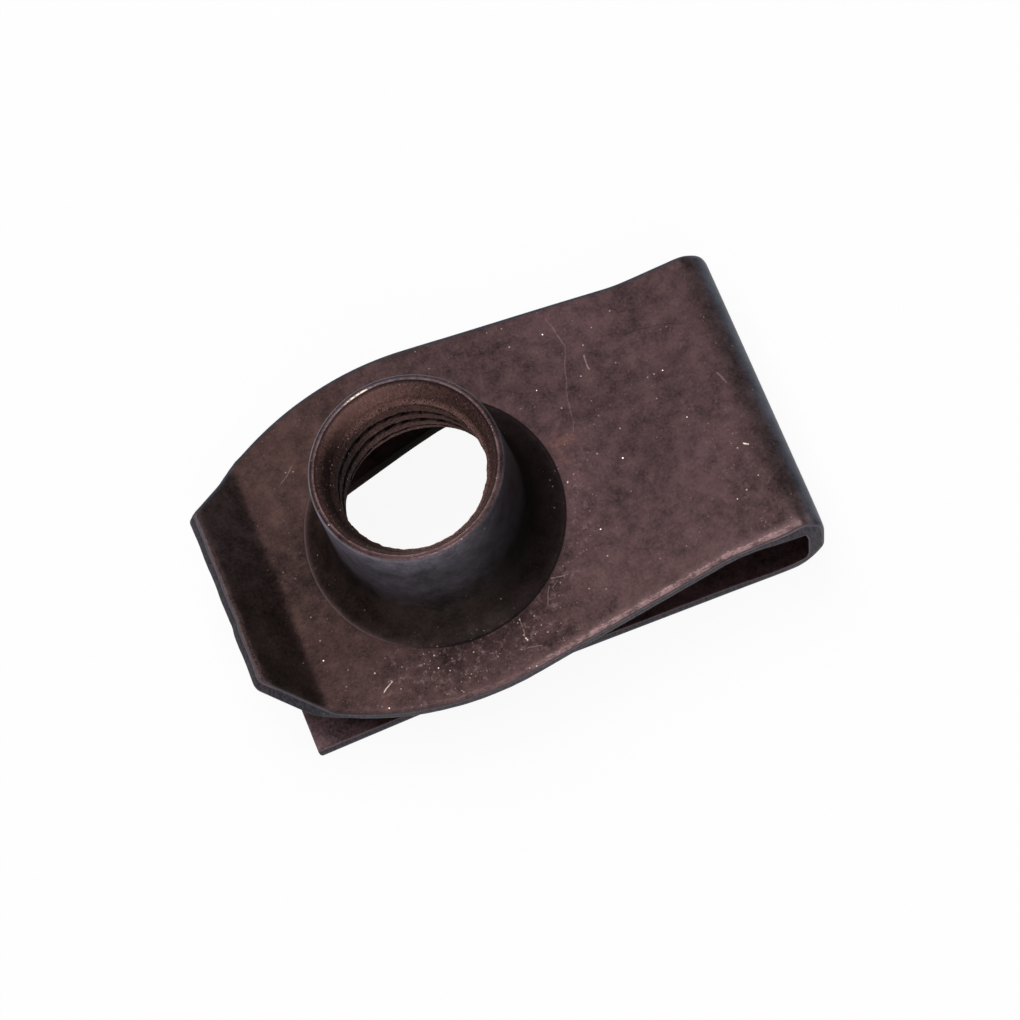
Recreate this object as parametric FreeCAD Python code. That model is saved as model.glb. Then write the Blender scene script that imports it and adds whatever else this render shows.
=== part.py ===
import FreeCAD, Part
import math
import os

# U-shaped clip nut: one strip of spring steel, folded in a U, with a threaded barrel drawn from it.
# Lengths are millimetres and angles are degrees.

# Sheet and outline of the upper leg, measured from the barrel's axis
sheet = 0.8
strip_width = 16.8
head_width = 19.9
head_round = 17.0
head_centre = -0.1
shoulder_at = 13.55
shoulder_round = 9.0
tip_bend_at = 8.9
tip_length = 3.25
tip_angle = 38.0
tip_bend_radius = 0.9
tip_end_width = 10.1
tip_corner_round = 0.5

# Fold and lower leg
axis_to_fold = 18.55
fold_height = 5.5
web_lean = 6.0
fold_radius = 1.05
grip_angle = 4.7
lead_angle = 5.6
lower_bend_at = 0.2
lower_bend_radius = 14.0
axis_to_lower_end = 10.45
lower_end_width = 16.05
edge_roll = 0.12

# Barrel: its height is above the upper leg's top face
barrel_height = 8.4
rim_radius = 5.1
rim_round = 0.25
barrel_draft = 1.5
flare_base_radius = 6.95
flare_radius = 2.9
thread_minor_radius = 4.19
mouth_width = 0.36
mouth_depth = 1.2
inner_flare_radius = 4.5
inner_flare_crease = 15.0

# Clearance hole of the lower leg: a large round end and a small one, joined by tangent lines
hole_fold_end_radius = 6.5
hole_fold_end_at = 3.1
hole_free_end_radius = 5.25
hole_free_end_at = 2.4

# Room that a cutting or keeping body has past the face that it meets
margin = 1.0

# A point this close to a face lies on it
on_face = 0.0001

up = FreeCAD.Vector(0, 0, 1)
across = FreeCAD.Vector(0, 1, 0)


def spot(x, z):
    """A point of the clip's section, which lies in the XZ plane."""
    return FreeCAD.Vector(x, 0, z)


def heading(degrees):
    """The unit direction in the XZ plane at this angle above +X."""
    angle = math.radians(degrees)
    return spot(math.cos(angle), math.sin(angle))


def meeting(first, first_way, second, second_way):
    """The point where two lines of the XZ plane meet."""
    cross = first_way.x * second_way.z - first_way.z * second_way.x
    gap = second - first
    reach = (gap.x * second_way.z - gap.z * second_way.x) / cross
    return first + first_way * reach


def rounded_edges(points, radii):
    """Edges along the points, with each inner corner rounded to its radius."""
    edges = []
    start = points[0]
    for before, corner, after, radius in zip(points, points[1:], points[2:], radii):
        back = (before - corner).normalize()
        ahead = (after - corner).normalize()
        half = back.getAngle(ahead) / 2
        reach = radius / math.tan(half)
        inward = (back + ahead).normalize()
        arc_start = corner + back * reach
        arc_middle = corner + inward * (radius / math.sin(half) - radius)
        arc_end = corner + ahead * reach
        edges.append(Part.makeLine(start, arc_start))
        edges.append(Part.Arc(arc_start, arc_middle, arc_end).toShape())
        start = arc_end
    edges.append(Part.makeLine(start, points[-1]))
    return edges


def right_of(way):
    """The direction to the right of a way in the XZ plane."""
    return spot(way.z, -way.x)


def shifted_right(points, distance):
    """The corner points of the path that runs this far to the right of the given one."""
    ways = [(b - a).normalize() for a, b in zip(points, points[1:])]
    sides = [right_of(way) for way in ways]
    moved = [points[0] + sides[0] * distance]
    for corner, side, next_side in zip(points[1:], sides, sides[1:]):
        share = distance / (1 + side.dot(next_side))
        moved.append(corner + (side + next_side) * share)
    moved.append(points[-1] + sides[-1] * distance)
    return moved


def solid_of(edges, sweep):
    """The solid that a closed outline makes along the sweep."""
    wire = Part.Wire(Part.sortEdges(edges)[0])
    return Part.Face(wire).extrude(sweep)


def turned(edges):
    """The solid of revolution of a closed outline about the barrel's axis."""
    wire = Part.Wire(Part.sortEdges(edges)[0])
    return Part.Face(wire).revolve(FreeCAD.Vector(0, 0, 0), up, 360)


def arc_about(centre, radius, first, last):
    """An arc in the XZ plane from one angle to another about its centre."""
    middle = (first + last) / 2
    ends = [centre + heading(angle) * radius for angle in (first, middle, last)]
    return Part.Arc(*ends).toShape()


def outside_corners():
    """Corners of the sheet's outer face, from the tip over the upper leg and round the fold."""
    tip_way = heading(180 - tip_angle)
    tip_bend = spot(-tip_bend_at, 0)
    tip_end = tip_bend + tip_way * tip_length
    web_way = heading(-90 - web_lean)
    web_middle = spot(axis_to_fold, -fold_height / 2)
    top_corner = meeting(tip_bend, heading(0), web_middle, web_way)
    low_corner = meeting(spot(0, -fold_height), heading(0), web_middle, web_way)
    grip_way = heading(180 - grip_angle)
    lower_bend = low_corner + grip_way * ((low_corner.x - lower_bend_at) / math.cos(math.radians(grip_angle)))
    lead_way = heading(180 - grip_angle + lead_angle)
    lead_reach = (lower_bend.x + axis_to_lower_end) / -lead_way.x
    lower_end = lower_bend + lead_way * lead_reach
    return [tip_end, tip_bend, top_corner, low_corner, lower_bend, lower_end]


def folded_section():
    """The closed outline of the folded sheet, seen from its side."""
    outer = outside_corners()
    inner = shifted_right(outer, sheet)
    folds = [tip_bend_radius, fold_radius + sheet, fold_radius + sheet, lower_bend_radius]
    inner_folds = [tip_bend_radius + sheet, fold_radius, fold_radius, lower_bend_radius + sheet]
    edges = rounded_edges(outer, folds) + rounded_edges(inner, inner_folds)
    edges.append(Part.makeLine(outer[0], inner[0]))
    edges.append(Part.makeLine(outer[-1], inner[-1]))
    return edges


def folded_sheet():
    """The bent sheet at the head's full width, before its outline is cut."""
    sweep = across * (head_width + 2 * margin)
    sheet_body = solid_of(folded_section(), sweep)
    sheet_body.translate(across * (-sweep.y / 2))
    return sheet_body


def head_centre_point():
    """The centre of the arc that rounds the head's far side."""
    return FreeCAD.Vector(head_centre, head_width / 2 - head_round, 0)


def clip_corners():
    """The far corners of the clipped edge: at the bend's start, at its end and at the tip's end.

    The first lies on the upper leg and the others on the tip as if it were turned flat about its bend line."""
    centre = head_centre_point()
    angle = math.radians(tip_angle)
    bend_reach = tip_bend_radius * math.tan(angle / 2)
    bend_run = (tip_bend_radius + sheet / 2) * angle
    start_x = bend_reach - tip_bend_at
    start_y = centre.y + math.sqrt(head_round ** 2 - (start_x - centre.x) ** 2)
    slope = (start_y - tip_end_width / 2) / (bend_run + tip_length - bend_reach)
    start = FreeCAD.Vector(start_x, start_y, 0)
    end = FreeCAD.Vector(-bend_reach - tip_bend_at, start_y - slope * bend_run, 0)
    corner = FreeCAD.Vector(-tip_bend_at - tip_length, tip_end_width / 2, 0)
    return start, end, corner


def head_outline():
    """The far edge of the upper leg, from the fold to the tip's bend.

    The head's arc runs out in a straight taper, which meets the strip's edge at the shoulder."""
    strip_half = strip_width / 2
    centre = head_centre_point()
    shoulder = FreeCAD.Vector(shoulder_at, strip_half, 0)
    reach = shoulder - centre
    touch = math.atan2(reach.y, reach.x) + math.acos(head_round / reach.Length)
    taper_start = centre + FreeCAD.Vector(math.cos(touch), math.sin(touch), 0) * head_round
    fold_end = FreeCAD.Vector(axis_to_fold + margin, strip_half, 0)
    middle = math.atan2(clip_corners()[0].y - centre.y, clip_corners()[0].x - centre.x) / 2 + touch / 2
    arc_middle = centre + FreeCAD.Vector(math.cos(middle), math.sin(middle), 0) * head_round
    edges = rounded_edges([fold_end, shoulder, taper_start], [shoulder_round])
    edges.append(Part.Arc(taper_start, arc_middle, clip_corners()[0]).toShape())
    return edges


def mirrored(point):
    """The point's mirror image across the clip's middle plane."""
    return FreeCAD.Vector(point.x, -point.y, point.z)


def head_body(low, high):
    """A body with the head's and the strip's outline, between two heights."""
    edges = head_outline()
    start = edges[0].Vertexes[0].Point
    end = clip_corners()[0]
    path = [end, FreeCAD.Vector(end.x, 0, 0), FreeCAD.Vector(start.x, 0, 0), start]
    edges += [Part.makeLine(a, b) for a, b in zip(path, path[1:])]
    half = solid_of(edges, up * (high - low))
    half.translate(up * low)
    return half.fuse(half.mirror(FreeCAD.Vector(0, 0, 0), across)).removeSplitter()


def tip_body():
    """A body with the clipped tip's outline, square to the tip's slope."""
    start, corner = clip_corners()[1:]
    corners = [start, corner, mirrored(corner), mirrored(start)]
    edges = rounded_edges(corners, [tip_corner_round, tip_corner_round])
    edges.append(Part.makeLine(mirrored(start), start))
    body = solid_of(edges, up * (3 * sheet))
    body.translate(up * (-2 * sheet))
    body.rotate(spot(-tip_bend_at, 0), across, tip_angle)
    return body


def tip_bend_body():
    """A body whose sides turn and close in evenly through the tip's bend."""
    flat_start, flat_end = clip_corners()[:2]
    frames = []
    for corner, turn in ((flat_start, 0), (flat_end, tip_angle)):
        low = FreeCAD.Vector(corner.x, corner.y, -1.5 * sheet)
        high = FreeCAD.Vector(corner.x, corner.y, tip_bend_radius / 2)
        points = [low, high, mirrored(high), mirrored(low), low]
        frame = Part.makePolygon(points)
        frame.rotate(spot(-tip_bend_at, 0), across, turn)
        frames.append(frame)
    return Part.makeLoft(frames, True, True)


def lower_body(top, depth):
    """A body with the lower leg's outline, tapered toward its square free end."""
    fold = FreeCAD.Vector(axis_to_fold + margin, strip_width / 2, top)
    taper_start = FreeCAD.Vector(axis_to_fold - fold_radius - sheet, strip_width / 2, top)
    free_end = FreeCAD.Vector(-axis_to_lower_end - margin, lower_end_width / 2, top)
    corners = [fold, taper_start, free_end, mirrored(free_end), mirrored(taper_start), mirrored(fold), fold]
    edges = [Part.makeLine(a, b) for a, b in zip(corners, corners[1:])]
    return solid_of(edges, up * -depth)


def clearance_hole():
    """The tapered round-ended hole of the lower leg, as a cutting body."""
    span = hole_fold_end_at + hole_free_end_at
    lean = math.asin((hole_fold_end_radius - hole_free_end_radius) / span)
    normal = FreeCAD.Vector(-math.sin(lean), math.cos(lean), 0)
    mirrored = FreeCAD.Vector(normal.x, -normal.y, 0)
    big = FreeCAD.Vector(hole_fold_end_at, 0, 0)
    small = FreeCAD.Vector(-hole_free_end_at, 0, 0)
    big_end = big + FreeCAD.Vector(hole_fold_end_radius, 0, 0)
    small_end = small - FreeCAD.Vector(hole_free_end_radius, 0, 0)
    big_far = big + normal * hole_fold_end_radius
    big_near = big + mirrored * hole_fold_end_radius
    small_far = small + normal * hole_free_end_radius
    small_near = small + mirrored * hole_free_end_radius
    edges = [
        Part.Arc(big_near, big_end, big_far).toShape(),
        Part.makeLine(big_far, small_far),
        Part.Arc(small_far, small_end, small_near).toShape(),
        Part.makeLine(small_near, big_near),
    ]
    hole = solid_of(edges, up * -(fold_height + margin))
    hole.translate(up * (-1.5 * sheet))
    return hole


def rolled(body, first_x, last_x):
    """The body with its sheared edges rolled on the sheet's outer face, between two places along X."""
    corners = outside_corners()
    folds = [tip_bend_radius, fold_radius + sheet, fold_radius + sheet, lower_bend_radius]
    skin = Part.Wire(rounded_edges(corners, folds)).extrude(across * (2 * head_width))
    skin.translate(across * -head_width)
    sheared = []
    for edge in body.Edges:
        middle = edge.valueAt((edge.FirstParameter + edge.LastParameter) / 2)
        off_skin = skin.distToShape(Part.Vertex(middle))[0]
        if off_skin > on_face or not first_x < middle.x < last_x:
            continue
        outer_faces = 0
        for face in body.ancestorsOfType(edge, Part.Face):
            u_low, u_high, v_low, v_high = face.ParameterRange
            sample = face.valueAt((u_low + u_high) / 2, (v_low + v_high) / 2)
            outer_faces += skin.distToShape(Part.Vertex(sample))[0] < on_face
        if outer_faces == 1:
            sheared.append(edge)
    return body.makeFillet(edge_roll, sheared)


def cut_outline(sheet_body):
    """The bent sheet with its head, tip, lower leg and clearance hole cut to shape.

    The edges are rolled on each side of the tip's bend, and the roll runs out at the bend itself."""
    split = -1.5 * sheet
    head = sheet_body.common(head_body(split, margin))
    lower = sheet_body.common(lower_body(split, fold_height + margin))
    legs = head.fuse(lower).removeSplitter()
    bend_start = clip_corners()[0].x
    legs = rolled(legs, bend_start + on_face, axis_to_fold + margin).cut(clearance_hole())
    bend = sheet_body.common(tip_bend_body())
    tip = sheet_body.common(tip_body())
    tip = rolled(tip, tip.BoundBox.XMin, bend.BoundBox.XMin)
    return legs.fuse([bend, tip]).removeSplitter()


def barrel_outside():
    """The drawn barrel as a filled body: flare, slightly tapered wall and rounded rim."""
    base = spot(flare_base_radius, 0)
    draft = math.radians(barrel_draft)
    wall_way = heading(90 + barrel_draft)
    rim = spot(rim_radius, barrel_height)
    neck_radius = rim_radius + (barrel_height - flare_radius) * math.tan(draft)
    flare_end = math.degrees(math.acos(1 - (flare_base_radius - neck_radius) / flare_radius))
    centre = base + heading(flare_end) * flare_radius
    neck = centre + heading(180 + barrel_draft) * flare_radius
    wall_top = meeting(neck, wall_way, rim, heading(180))
    flare = arc_about(centre, flare_radius, 180 + barrel_draft, 180 + flare_end)
    foot = spot(flare_base_radius, -sheet / 2)
    edges = [Part.makeLine(foot, flare.Vertexes[-1].Point), flare]
    edges += rounded_edges([flare.Vertexes[0].Point, wall_top, spot(0, barrel_height)], [rim_round])
    edges.append(Part.makeLine(spot(0, barrel_height), spot(0, -sheet / 2)))
    edges.append(Part.makeLine(spot(0, -sheet / 2), foot))
    return turned(edges)


def barrel_inside():
    """The hollow of the barrel: chamfered mouth, bore at the thread's crests and flared foot."""
    arc_angle = 90 - inner_flare_crease
    centre_height = inner_flare_radius * math.sin(math.radians(arc_angle)) - sheet
    centre = spot(thread_minor_radius + inner_flare_radius, centre_height)
    flare = arc_about(centre, inner_flare_radius, 180, 180 + arc_angle)
    top = flare.Vertexes[0].Point
    foot = flare.Vertexes[-1].Point
    low = spot(foot.x, foot.z - sheet / 4)
    mouth_low = spot(thread_minor_radius, barrel_height - mouth_depth)
    mouth_top = spot(thread_minor_radius + mouth_width, barrel_height)
    above = spot(mouth_top.x, barrel_height + margin)
    corners = [top, mouth_low, mouth_top, above, spot(0, above.z), spot(0, low.z), low, foot]
    edges = [Part.makeLine(a, b) for a, b in zip(corners, corners[1:])]
    edges.append(flare)
    return turned(edges)


def rest_angle():
    """How far the clip turns about Y so that its fold and its lower leg's rolled end both touch down."""
    corners = outside_corners()
    fold_round = rounded_edges(corners[2:5], [fold_radius + sheet])[1].Curve
    lead_way = (corners[-1] - corners[-2]).normalize()
    roll_centre = corners[-1] + (right_of(lead_way) - lead_way) * edge_roll
    reach = fold_round.Center - roll_centre
    lift = math.asin((fold_round.Radius - edge_roll) / reach.Length)
    return math.degrees(math.atan2(reach.z, reach.x) - lift)


clip = cut_outline(folded_sheet())
clip = clip.fuse(barrel_outside()).cut(barrel_inside()).removeSplitter()

# Seated as it lies: on the fold and the lower leg's end, about the middle of its footprint
clip.rotate(FreeCAD.Vector(0, 0, 0), across, rest_angle())
box = clip.optimalBoundingBox(False)
clip.translate(FreeCAD.Vector(-box.Center.x, -box.Center.y, -box.ZMin))

os.makedirs("parts", exist_ok=True)
clip.exportStep("parts/clip.step")
print("solids", len(clip.Solids), "valid", clip.isValid(), "volume", round(clip.Volume, 2))
print("box", clip.optimalBoundingBox(False))
print("turned", round(rest_angle(), 4), "axis foot", round(-box.Center.x, 4), round(-box.ZMin, 4))
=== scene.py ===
import math

import bmesh
import bpy
import numpy as np
from mathutils import Matrix, Vector
from mathutils.geometry import delaunay_2d_cdt


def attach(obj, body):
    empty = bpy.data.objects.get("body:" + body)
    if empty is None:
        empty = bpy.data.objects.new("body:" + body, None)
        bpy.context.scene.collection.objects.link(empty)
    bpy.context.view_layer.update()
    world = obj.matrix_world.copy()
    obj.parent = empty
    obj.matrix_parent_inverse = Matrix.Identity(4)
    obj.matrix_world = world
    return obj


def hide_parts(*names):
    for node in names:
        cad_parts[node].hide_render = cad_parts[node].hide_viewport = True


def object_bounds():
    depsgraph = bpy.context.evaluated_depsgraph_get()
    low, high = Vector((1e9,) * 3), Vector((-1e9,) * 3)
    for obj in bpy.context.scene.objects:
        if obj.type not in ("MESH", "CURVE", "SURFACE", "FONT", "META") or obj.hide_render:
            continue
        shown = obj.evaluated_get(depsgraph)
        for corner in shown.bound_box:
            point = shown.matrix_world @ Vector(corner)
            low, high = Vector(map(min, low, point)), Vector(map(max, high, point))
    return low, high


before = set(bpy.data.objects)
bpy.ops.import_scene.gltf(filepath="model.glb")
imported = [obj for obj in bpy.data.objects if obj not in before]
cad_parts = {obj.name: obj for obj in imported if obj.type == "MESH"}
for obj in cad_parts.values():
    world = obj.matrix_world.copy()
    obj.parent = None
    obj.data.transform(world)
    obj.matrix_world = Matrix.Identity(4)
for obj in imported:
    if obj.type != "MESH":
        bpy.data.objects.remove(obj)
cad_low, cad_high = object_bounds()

# The clip is shaped in millimetres in the upper leg's own frame: the origin is on its top face
# under the barrel's axis, +X runs to the fold and +Z along the barrel. It is then laid on the ground.
MM = 0.001

# Sheet, head and strip
SHEET = 0.8
STRIP = 8.4
HEAD_HALF = 9.946
HEAD_ROUND = 17.0
HEAD_CENTRE = -0.1
SHOULDER_AT = 13.55
SHOULDER_ROUND = 9.0

# Lead-in lip at the tip
TIP_BEND_AT = 8.9
TIP_LENGTH = 3.25
TIP_ANGLE = 38.0
TIP_BEND_RADIUS = 0.9
TIP_END_HALF = 5.05
TIP_CORNER = 0.5
TIP_LEAN = 0.2
TIP_JOG = 0.05
TIP_JOG_AT = -1.55

# Fold and lower leg
FOLD_AT = 18.55
FOLD_HEIGHT = 5.5
WEB_LEAN = 6.0
FOLD_RADIUS = 1.85
GRIP_ANGLE = 4.7
LEAD_ANGLE = 5.6
LOWER_BEND_AT = 0.2
LOWER_BEND_RADIUS = 14.0
LOWER_END = 10.45
LOWER_END_HALF = 8.04
LOWER_CORNER = 0.2

# Metal squeezed in the fold at the strip's two edges
SQUEEZE_REACH = 0.75
FAR_SQUEEZE = 0.25
EAR_HEIGHT = 0.42
LOW_EAR_HEIGHT = 0.16
WEB_TUCK = 0.05
CORNER_HOLLOW = 0.2
LOW_CORNER_HOLLOW = 0.08
THICKENING = 0.24
SIDE_SPREAD = 0.19
DRAWN_IN = 0.15

# Barrel
BARREL_HEIGHT = 8.4
RIM_RADIUS = 5.1
FLARE_BASE = 6.95
FLARE_RADIUS = 2.9
BARREL_DRAFT = math.radians(1.5)
WALL_TOP_AT = 8.12
RIM_ROUND = 0.24
RIM_ROUND_AT = (4.865, 8.155)
MOUTH_TOP = (4.685, 8.21)
MOUTH_FOOT = (4.25, 7.3)
MOUTH_BULGE = 0.03
CREASE_LIFT = 0.012

# Bore and thread: the groove's flat root and its flank, each side of its middle, are shares of the pitch
BORE_RADIUS = 4.19
CREST_RADIUS = 3.9
CREST_TAPER = 0.065
ROOT_RADIUS = 4.86
PITCH = 1.5
THREAD_DATUM = 6.35
GROOVE_FLAT = 0.03
GROOVE_FLANK = 0.16
THREAD_TOP = 7.26
THREAD_FOOT = 0.98
THREAD_STEP = 0.055
THREAD_ROUGHNESS = 0.05
THREAD_ASKEW = (0.13, 0.15)
INNER_FLARE = 4.5
FLARE_TURN = math.radians(75)
INNER_FLARE_CENTRE = INNER_FLARE * math.sin(FLARE_TURN) - SHEET
INNER_FOOT = BORE_RADIUS + INNER_FLARE * (1 - math.cos(FLARE_TURN))

# Clearance hole in the lower leg: two circles along X, with their shared tangents
HOLE_BIG = (3.1, 6.5)
HOLE_SMALL = (-2.4, 5.25)

# Where the barrel's rings meet the nets of the sheet's two faces, and how fine it all is
PLATE_NET = 7.5
UNDER_NET = INNER_FOOT + 0.42
PATH_STEP = 0.02
OUTLINE_STEP = 0.22
BEND_STEP = 0.12
HOLE_STEP = 0.2
TOP_SPACING = 0.34
UNDER_SPACING = 0.4
AROUND = 256


def turned(degrees):
    """The unit vector at this angle."""
    angle = math.radians(degrees)
    return np.array([math.cos(angle), math.sin(angle)])


def left_of(way):
    return np.array([-way[1], way[0]])


def meet(a, way_a, b, way_b):
    """Where two lines of the side view meet."""
    cross = way_a[0] * way_b[1] - way_a[1] * way_b[0]
    gap = b - a
    return a + way_a * ((gap[0] * way_b[1] - gap[1] * way_b[0]) / cross)


def value_noise(p, scale, seed):
    """Smooth noise between -1 and 1 at points of an (n, 3) array."""
    q = p / scale
    cell = np.floor(q).astype(np.int64)
    f = q - cell
    f = f * f * (3 - 2 * f)
    total = np.zeros(len(p))
    for dx in (0, 1):
        for dy in (0, 1):
            for dz in (0, 1):
                c = cell + (dx, dy, dz)
                h = c[:, 0] * 73856093 ^ c[:, 1] * 19349663 ^ c[:, 2] * 83492791 ^ seed * 2654435761
                h = (((h & 0xFFFFFF) * 1103515245 + 12345) >> 4) & 0xFFFF
                w = np.abs(1 - dx - f[:, 0]) * np.abs(1 - dy - f[:, 1]) * np.abs(1 - dz - f[:, 2])
                total += w * (h / 32767.5 - 1)
    return total


def ramp(x, low, high):
    """A smooth step from 0 at low to 1 at high."""
    t = np.clip((x - low) / (high - low), 0, 1)
    return t * t * (3 - 2 * t)


def hump(x, centre, width):
    """A smooth hump of height 1."""
    return np.exp(-(((x - centre) / width) ** 2))


def skin_path():
    """The sheet's outer face in side view, from the tip over the upper leg and round the fold.

    Returns the length along it, its points, its headings, and where each run and each bend ends."""
    tip_bend = np.array([-TIP_BEND_AT, 0.0])
    tip_end = tip_bend + turned(180 - TIP_ANGLE) * TIP_LENGTH
    web_way = turned(-90 - WEB_LEAN)
    web_middle = np.array([FOLD_AT, -FOLD_HEIGHT / 2])
    top = meet(tip_bend, turned(0), web_middle, web_way)
    low = meet(np.array([0.0, -FOLD_HEIGHT]), turned(0), web_middle, web_way)
    grip_way = turned(180 - GRIP_ANGLE)
    lower_bend = low + grip_way * ((low[0] - LOWER_BEND_AT) / math.cos(math.radians(GRIP_ANGLE)))
    lead_way = turned(180 - GRIP_ANGLE + LEAD_ANGLE)
    lower_end = lower_bend + lead_way * ((lower_bend[0] + LOWER_END) / -lead_way[0])
    corners = [tip_end, tip_bend, top, low, lower_bend, lower_end]
    grip = -180.0 - GRIP_ANGLE
    headings = [-TIP_ANGLE, 0.0, -90.0 - WEB_LEAN, grip, grip + LEAD_ANGLE]
    radii = [TIP_BEND_RADIUS, FOLD_RADIUS, FOLD_RADIUS, LOWER_BEND_RADIUS]
    points, angles, ends = [], [], []
    start = corners[0]
    length = 0.0
    for i, heading in enumerate(headings):
        way = turned(heading)
        stop = corners[i + 1]
        if i < len(radii):
            turn = headings[i + 1] - heading
            reach = radii[i] * math.tan(math.radians(abs(turn)) / 2)
            stop = stop - way * reach
        run = np.linalg.norm(stop - start)
        n = max(2, int(run / PATH_STEP))
        for k in range(n):
            points.append(start + (stop - start) * k / n)
            angles.append(heading)
        length += run
        ends.append(length)
        if i < len(radii):
            side = 1 if turn > 0 else -1
            centre = stop + left_of(way) * side * radii[i]
            arc = math.radians(abs(turn)) * radii[i]
            n = max(4, int(arc / PATH_STEP))
            for k in range(n):
                angle = heading + turn * k / n
                points.append(centre - left_of(turned(angle)) * side * radii[i])
                angles.append(angle)
            length += arc
            ends.append(length)
            start = centre - left_of(turned(headings[i + 1])) * side * radii[i]
    points.append(corners[-1])
    angles.append(headings[-1])
    points = np.array(points)
    steps = np.linalg.norm(np.diff(points, axis=0), axis=1)
    return np.concatenate([[0], np.cumsum(steps)]), points, np.radians(angles), ends


PATH_S, PATH_P, PATH_H, PATH_ENDS = skin_path()
TIP_RUN, TIP_ARC, UPPER_RUN, _, WEB_RUN, LOW_ARC, GRIP_RUN = PATH_ENDS[:7]
END_S = PATH_S[-1]
X0 = PATH_P[np.searchsorted(PATH_S, TIP_ARC), 0]


def place(s, y, depth):
    """Points of the folded sheet: along its skin path, across it and below its outer face."""
    x = np.interp(s, PATH_S, PATH_P[:, 0])
    z = np.interp(s, PATH_S, PATH_P[:, 1])
    h = np.interp(s, PATH_S, PATH_H)
    # Where the edge goes round the fold, the metal is squeezed: it stands up on the outside as a small
    # ear, and on the inside it spreads sideways and is thicker, but less so in the corners
    turn = np.degrees((s - UPPER_RUN) / FOLD_RADIUS)
    low_turn = np.degrees((s - WEB_RUN) / FOLD_RADIUS)
    inner = np.clip(depth / SHEET, 0, 1)
    reach = np.exp(-np.clip(STRIP - np.abs(y), 0, 9) / SQUEEZE_REACH)
    near = np.where(y < 0, 1.0, FAR_SQUEEZE)
    ear = EAR_HEIGHT * hump(turn, 24, 17) + LOW_EAR_HEIGHT * hump(turn, 58, 14)
    tuck = WEB_TUCK * ramp(turn, 66, 86) * (1 - ramp(s, WEB_RUN - 0.4, LOW_ARC))
    out = (ear * (1 - 0.85 * inner) - tuck * (1 - 0.6 * inner)) * reach * near
    hollow = CORNER_HOLLOW * hump(turn, 44, 13) + LOW_CORNER_HOLLOW * hump(low_turn, 42, 13)
    folded = ramp(s, UPPER_RUN - 1.4, UPPER_RUN + 1.0) * (1 - ramp(s, LOW_ARC - 0.5, LOW_ARC + 1.5))
    thick = THICKENING * folded * near
    out = out + (hollow - thick) * reach * inner
    spread = ramp(s, UPPER_RUN - 2.5, UPPER_RUN) * (1 - 0.6 * ramp(s, LOW_ARC, LOW_ARC + 4.0))
    y = y + np.sign(y) * SIDE_SPREAD * spread * reach * inner
    drawn_in = DRAWN_IN * near * hump(low_turn, 35, 34)
    y = y - np.sign(y) * drawn_in * reach * (1 - inner)
    d = depth - out
    return np.column_stack([x + np.sin(h) * d, y, z - np.cos(h) * d])


def s_of_upper(x):
    """The path length at this x of the upper leg."""
    return TIP_ARC + (np.asarray(x) - X0)


def s_of_lower(x):
    """The path length at this x of the lower leg."""
    k = PATH_S > LOW_ARC
    return np.interp(-np.asarray(x, float), -PATH_P[k, 0], PATH_S[k])


def arc_points(centre, radius, a0, a1, step):
    n = max(3, int(abs(a1 - a0) * radius / step))
    a = np.linspace(a0, a1, n + 1)
    return [(centre[0] + radius * math.cos(t), centre[1] + radius * math.sin(t)) for t in a]


def line_points(a, b, step):
    n = max(1, int(math.dist(a, b) / step))
    return [(a[0] + (b[0] - a[0]) * k / n, a[1] + (b[1] - a[1]) * k / n) for k in range(n + 1)]


def rounded_corner(before, corner, after, radius, step):
    """Points of a rounded corner of a polyline."""
    b = np.array(before) - corner
    b = b / np.linalg.norm(b)
    a = np.array(after) - corner
    a = a / np.linalg.norm(a)
    half = math.acos(float(np.clip(a @ b, -1, 1))) / 2
    reach = radius / math.tan(half)
    centre = np.array(corner) + (a + b) / np.linalg.norm(a + b) * (radius / math.sin(half))
    first = np.array(corner) + b * reach - centre
    last = np.array(corner) + a * reach - centre
    t0 = math.atan2(first[1], first[0])
    t1 = math.atan2(last[1], last[0])
    if t1 - t0 > math.pi:
        t1 -= 2 * math.pi
    if t0 - t1 > math.pi:
        t1 += 2 * math.pi
    return arc_points(centre, radius, t0, t1, step)


def join(*parts):
    """One list of points, without the repeated ones where two parts meet."""
    points = []
    for part in parts:
        for p in part:
            if not points or math.dist(p, points[-1]) > 0.01:
                points.append((float(p[0]), float(p[1])))
    return points


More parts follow.
